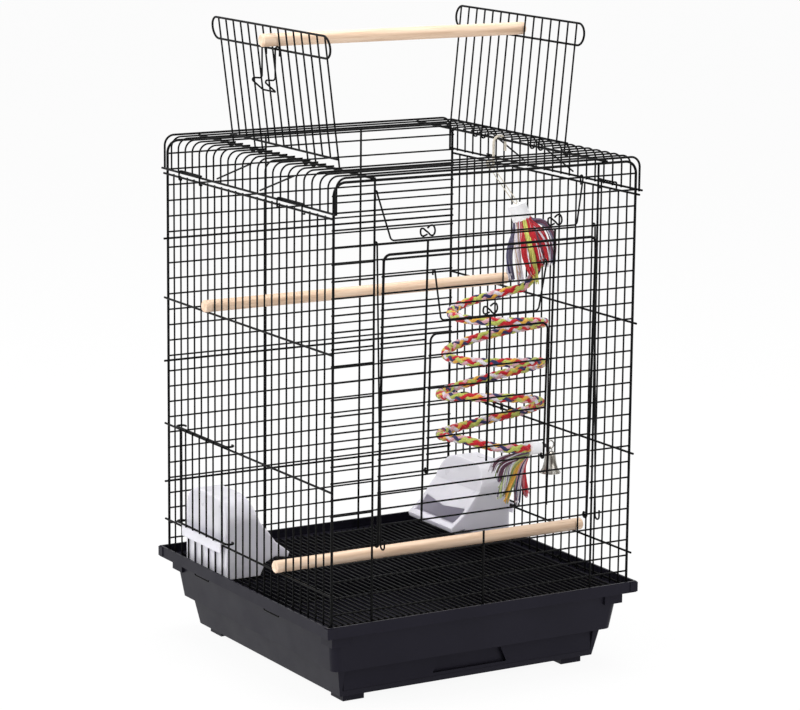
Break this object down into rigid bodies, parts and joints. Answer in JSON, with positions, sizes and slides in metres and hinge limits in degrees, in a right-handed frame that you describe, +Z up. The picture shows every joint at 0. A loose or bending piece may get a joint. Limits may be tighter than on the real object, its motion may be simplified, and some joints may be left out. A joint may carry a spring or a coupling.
{
  "type": "bird cage",
  "caption": "Square black wire bird cage with an open roof, hinged front door, slide-out tray, hooded feeder cups, wooden perches and a hanging coiled rope toy with a bell.",
  "frame": {"origin": "on the floor under the middle of the cage", "axes": "+Z up, -Y towards the front door, +X towards the side where the toy hangs"},
  "size_m": [0.41, 0.4211, 0.7362],
  "materials": {
    "black_wire": "black powder coat",
    "tub_plastic": "moulded charcoal plastic with a fine grain",
    "feeder_plastic": "white plastic that lets some light through",
    "wood": "plain pale dowel",
    "rope": "plaited cotton rope in red, lime, gold, navy, pink and white",
    "white_tape": "wound white tape",
    "hook_steel": "cream coated wire",
    "clip_plastic": "black plastic",
    "bell_metal": "nickel plate"
  },
  "bodies": {
    "cage": {"base_tub": "tub_plastic", "floor_grille": "black_wire", "base_clips": "black_wire", "left_panel": "black_wire", "right_panel": "black_wire", "front_frame": "black_wire", "front_wires": "black_wire", "back_frame": "black_wire", "back_wires": "black_wire", "roof_hoops": "black_wire", "roof_side_wires": "black_wire", "roof_bars": "black_wire", "roof_clips": "black_wire", "upper_perch": "wood", "lower_perch": "wood", "left_feeder": "feeder_plastic", "right_feeder": "feeder_plastic"},
    "tray": {"tray": "tub_plastic"},
    "front_door": {"front_door": "black_wire", "front_door_wires": "black_wire"},
    "small_door": {"small_door": "black_wire", "small_door_wires": "black_wire"},
    "small_latch": {"small_latch": "black_wire"},
    "front_latch": {"front_latch": "black_wire"},
    "left_stay": {"left_stay": "black_wire"},
    "right_stay": {"right_stay": "black_wire"},
    "left_flap": {"left_flap": "black_wire", "left_flap_wires": "black_wire"},
    "right_flap": {"right_flap": "black_wire", "right_flap_wires": "black_wire"},
    "flap_latch": {"flap_latch": "black_wire"},
    "play_perch": {"play_perch": "wood"},
    "left_feeder_door": {"left_feeder_door": "black_wire"},
    "right_feeder_door": {"right_feeder_door": "black_wire"},
    "rope_toy": {"toy_hook": "hook_steel", "toy_wire": "hook_steel", "top_wrap": "white_tape", "rope_coil": "rope", "top_tassel": "rope", "end_wrap": "white_tape", "end_tassel": "rope", "end_clip": "clip_plastic", "bell_ring": "bell_metal"},
    "bell": {"bell": "bell_metal"},
    "bell_clapper": {"bell_clapper": "bell_metal"}
  },
  "joints": [
    {"name": "tray_slide", "type": "slide", "parent": "cage", "child": "tray", "axis": [0, -1, 0], "range_m": [0, 0.3]},
    {"name": "front_door_hinge", "type": "hinge", "parent": "cage", "child": "front_door", "pos_m": [0, -0.1925, 0.1852], "axis": [1, 0, 0], "range_deg": [0, 90]},
    {"name": "small_door_hinge", "type": "hinge", "parent": "front_door", "child": "small_door", "pos_m": [0, -0.19472, 0.26107], "axis": [1, 0, 0], "range_deg": [0, 80]},
    {"name": "small_latch_swing", "type": "hinge", "parent": "front_door", "child": "small_latch", "pos_m": [0, -0.19989, 0.48181], "axis": [-1, 0, 0], "range_deg": [0, 90]},
    {"name": "front_latch_swing", "type": "hinge", "parent": "cage", "child": "front_latch", "pos_m": [0, -0.1925, 0.5716], "axis": [-1, 0, 0], "range_deg": [0, 90]},
    {"name": "left_stay_swing", "type": "hinge", "parent": "cage", "child": "left_stay", "pos_m": [-0.1407, -0.1925, 0.5164], "axis": [-1, 0, 0], "range_deg": [0, 90]},
    {"name": "right_stay_swing", "type": "hinge", "parent": "cage", "child": "right_stay", "pos_m": [0.1407, -0.1925, 0.5164], "axis": [-1, 0, 0], "range_deg": [0, 90]},
    {"name": "left_flap_hinge", "type": "hinge", "parent": "cage", "child": "left_flap", "pos_m": [-0.149, 0, 0.589], "axis": [0, -1, 0], "range_deg": [-23, 8]},
    {"name": "right_flap_hinge", "type": "hinge", "parent": "cage", "child": "right_flap", "pos_m": [0.149, 0, 0.589], "axis": [0, 1, 0], "range_deg": [-21, 10]},
    {"name": "flap_latch_swing", "type": "hinge", "parent": "left_flap", "child": "flap_latch", "pos_m": [-0.16442, 0, 0.70982], "axis": [0, 1, 0], "range_deg": [-5, 60]},
    {"name": "play_perch_slide", "type": "slide", "parent": "cage", "child": "play_perch", "axis": [-1, 0, 0], "range_m": [0, 0.3]},
    {"name": "left_feeder_door_slide", "type": "slide", "parent": "cage", "child": "left_feeder_door", "axis": [0, 0, 1], "range_m": [0, 0.108]},
    {"name": "right_feeder_door_slide", "type": "slide", "parent": "cage", "child": "right_feeder_door", "axis": [0, 0, 1], "range_m": [0, 0.108]},
    {"name": "rope_toy_swing", "type": "hinge", "parent": "cage", "child": "rope_toy", "pos_m": [0.149, 0.0175, 0.589], "axis": [0, 1, 0], "range_deg": [0, 15]},
    {"name": "bell_swing", "type": "hinge", "parent": "rope_toy", "child": "bell", "pos_m": [0.15573, -0.09172, 0.2392], "axis": [0.9944, 0.1055, 0], "range_deg": [-15, 15]},
    {"name": "bell_clapper_swing", "type": "hinge", "parent": "bell", "child": "bell_clapper", "pos_m": [0.15573, -0.09172, 0.23448], "axis": [0.9944, 0.1055, 0], "range_deg": [-8, 8]}
  ]
}
